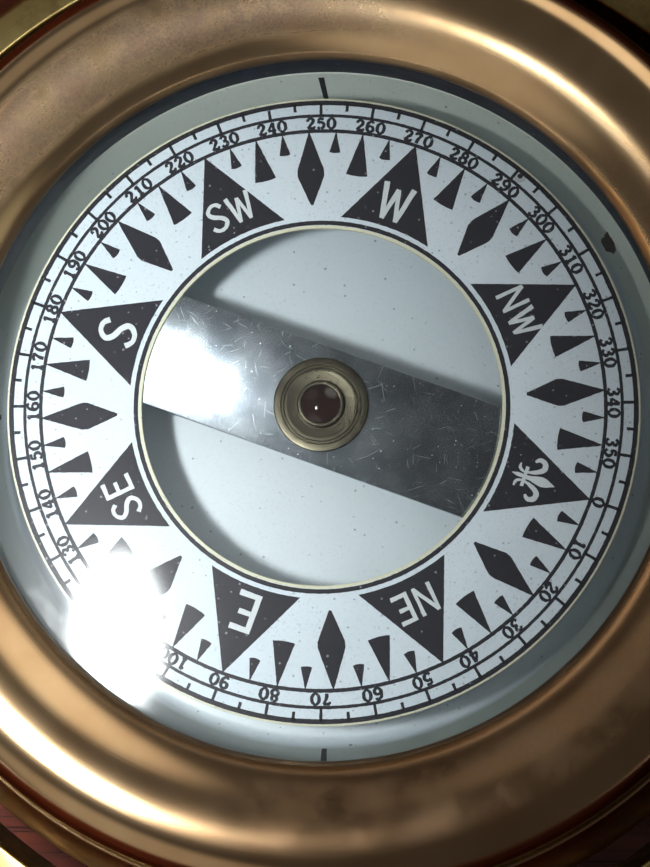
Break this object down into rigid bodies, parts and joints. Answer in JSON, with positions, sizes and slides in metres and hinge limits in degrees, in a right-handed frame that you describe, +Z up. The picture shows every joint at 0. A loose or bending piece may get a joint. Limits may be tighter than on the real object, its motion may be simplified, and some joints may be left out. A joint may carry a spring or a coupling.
{
  "type": "boat compass",
  "caption": "Dry-card boat compass: a brass bowl with a broad bezel, hung in a gimbal ring inside a square wooden box.",
  "frame": {"origin": "middle of the box's underside", "axes": "+Z up. +Y forward, towards the lubber line over 250 degrees on the card. +X starboard. The gimbal ring turns about Y and the bowl about X."},
  "size_m": [0.178, 0.178, 0.1041],
  "materials": {
    "mahogany": "dark red-brown, worn shellac",
    "fitting_brass": "aged, turned",
    "ring_brass": "satin, yellower than the bezel",
    "bowl_brass": "aged, lightly polished",
    "bezel_brass": "polished, coppery, tarnished in places",
    "glass": "clear",
    "blackened_brass": "blue-black, satin",
    "white_paint": "aged white enamel paint, speckled",
    "lead": "dull cast",
    "steel": "polished, finely scratched",
    "card_paper": "printed, slightly foxed",
    "cap_brass": "dull, greenish",
    "jewel": "polished garnet-coloured stone"
  },
  "bodies": {
    "box": {"box_base": "mahogany", "box_wall_back": "mahogany", "box_wall_left": "mahogany", "box_wall_front": "mahogany", "box_wall_right": "mahogany", "base_screw_1": "fitting_brass", "base_screw_2": "fitting_brass", "base_screw_3": "fitting_brass", "base_screw_4": "fitting_brass", "bearing_plate_back": "fitting_brass", "bearing_plate_front": "fitting_brass", "bearing_screw_back_left": "fitting_brass", "bearing_screw_back_right": "fitting_brass", "bearing_screw_front_left": "fitting_brass", "bearing_screw_front_right": "fitting_brass"},
    "ring": {"gimbal_ring": "ring_brass", "bowl_pivot_screw_right": "fitting_brass", "bowl_pivot_screw_left": "fitting_brass", "ring_trunnion_back": "fitting_brass", "ring_trunnion_front": "fitting_brass"},
    "bowl": {"bowl_shell": "bowl_brass", "bezel_ring": "bezel_brass", "glass": "glass", "glass_seat_ring": "blackened_brass", "card_chamber": "white_paint", "ballast_weight": "lead", "ballast_screw": "fitting_brass", "pivot_post": "fitting_brass", "pivot_point": "steel", "pivot_nut": "fitting_brass"},
    "card": {"card_ring": "card_paper", "needle_bar": "steel", "cap_body": "cap_brass", "cap_jewel": "jewel", "cap_nut": "cap_brass"}
  },
  "joints": [
    {"name": "ring_tilt", "type": "hinge", "parent": "box", "child": "ring", "pos_m": [0, 0, 0.06808], "axis": [0, 1, 0], "range_deg": [-25, 25]},
    {"name": "bowl_tilt", "type": "hinge", "parent": "ring", "child": "bowl", "pos_m": [0, 0, 0.06808], "axis": [1, 0, 0], "range_deg": [-25, 25]},
    {"name": "card_spin", "type": "hinge", "parent": "bowl", "child": "card", "pos_m": [0, 0, 0.09138], "axis": [0, 0, 1], "continuous": true}
  ]
}
